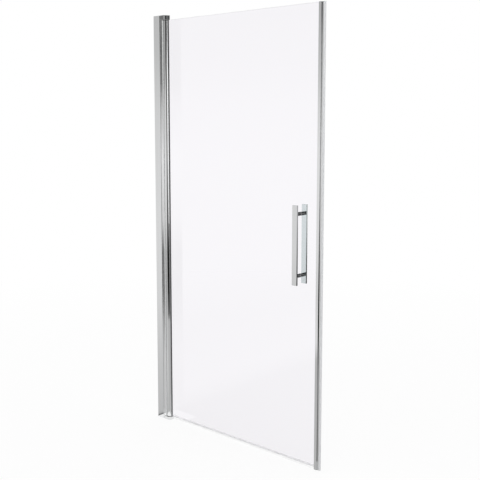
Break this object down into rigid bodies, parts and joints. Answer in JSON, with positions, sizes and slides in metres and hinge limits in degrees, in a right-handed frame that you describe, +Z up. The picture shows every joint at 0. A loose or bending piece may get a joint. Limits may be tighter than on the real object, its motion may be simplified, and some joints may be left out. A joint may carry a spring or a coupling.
{
  "type": "pivot shower door",
  "caption": "Framed-edge pivot shower door: wall profile, round pivot barrel between end brackets, clear glass leaf, closing strip with magnetic seal, bar handle on both faces.",
  "frame": {"origin": "on the shower tray, under the middle of the door's width, in the mid-plane of the glass", "axes": "+Z up, +X from the wall to the closing edge, +Y into the shower"},
  "size_m": [0.958, 0.072, 1.9],
  "materials": {
    "polished_aluminium": "bright polished anodised extrusion",
    "chrome": "mirror chrome",
    "grey_plastic": "satin silver-grey plastic",
    "steel": "stainless steel",
    "white_nylon": "natural acetal",
    "black_nylon": "black nylon",
    "grey_seal": "soft light grey vinyl",
    "clear_glass": "clear toughened glass, polished edges",
    "clear_vinyl": "clear vinyl",
    "magnet": "dark flexible magnet"
  },
  "bodies": {
    "wall_fixing": {"wall_channel": "polished_aluminium", "channel_top_cap": "grey_plastic"},
    "pivot_post": {"post_profile": "polished_aluminium", "top_bracket": "chrome", "bottom_bracket": "chrome", "top_bracket_screws": "steel", "bottom_bracket_screws": "steel", "locking_screws": "steel", "locking_screw_covers": "grey_plastic", "top_pivot_pin": "steel", "bottom_pivot_pin": "steel", "thrust_washer": "white_nylon", "post_seal": "grey_seal", "outer_cover_strip": "polished_aluminium", "inner_cover_strip": "polished_aluminium", "outer_wiper_seal": "grey_seal", "inner_wiper_seal": "grey_seal"},
    "door_leaf": {"barrel_profile": "polished_aluminium", "barrel_top_plug": "black_nylon", "barrel_bottom_plug": "black_nylon", "top_bush": "white_nylon", "bottom_bush": "white_nylon", "glazing_gasket_front": "grey_seal", "glazing_gasket_back": "grey_seal", "glass_panel": "clear_glass", "closing_gasket": "clear_vinyl", "closing_profile": "polished_aluminium", "closing_top_cap": "grey_plastic", "closing_bottom_cap": "grey_plastic", "magnetic_seal": "grey_seal", "magnet_strip": "magnet", "drip_seal": "clear_vinyl", "outer_handle_bar": "chrome", "inner_handle_bar": "chrome", "outer_standoffs": "chrome", "inner_standoffs": "chrome", "handle_washers": "clear_vinyl", "glass_hole_sleeves": "clear_vinyl", "handle_studs": "steel", "grub_screws": "steel"}
  },
  "joints": [
    {"name": "width_adjustment", "type": "slide", "parent": "wall_fixing", "child": "pivot_post", "axis": [1, 0, 0], "range_m": [0, 0.015]},
    {"name": "leaf_pivot", "type": "hinge", "parent": "pivot_post", "child": "door_leaf", "pos_m": [-0.413, 0, 0.95], "axis": [0, 0, -1], "range_deg": [0, 90]}
  ]
}
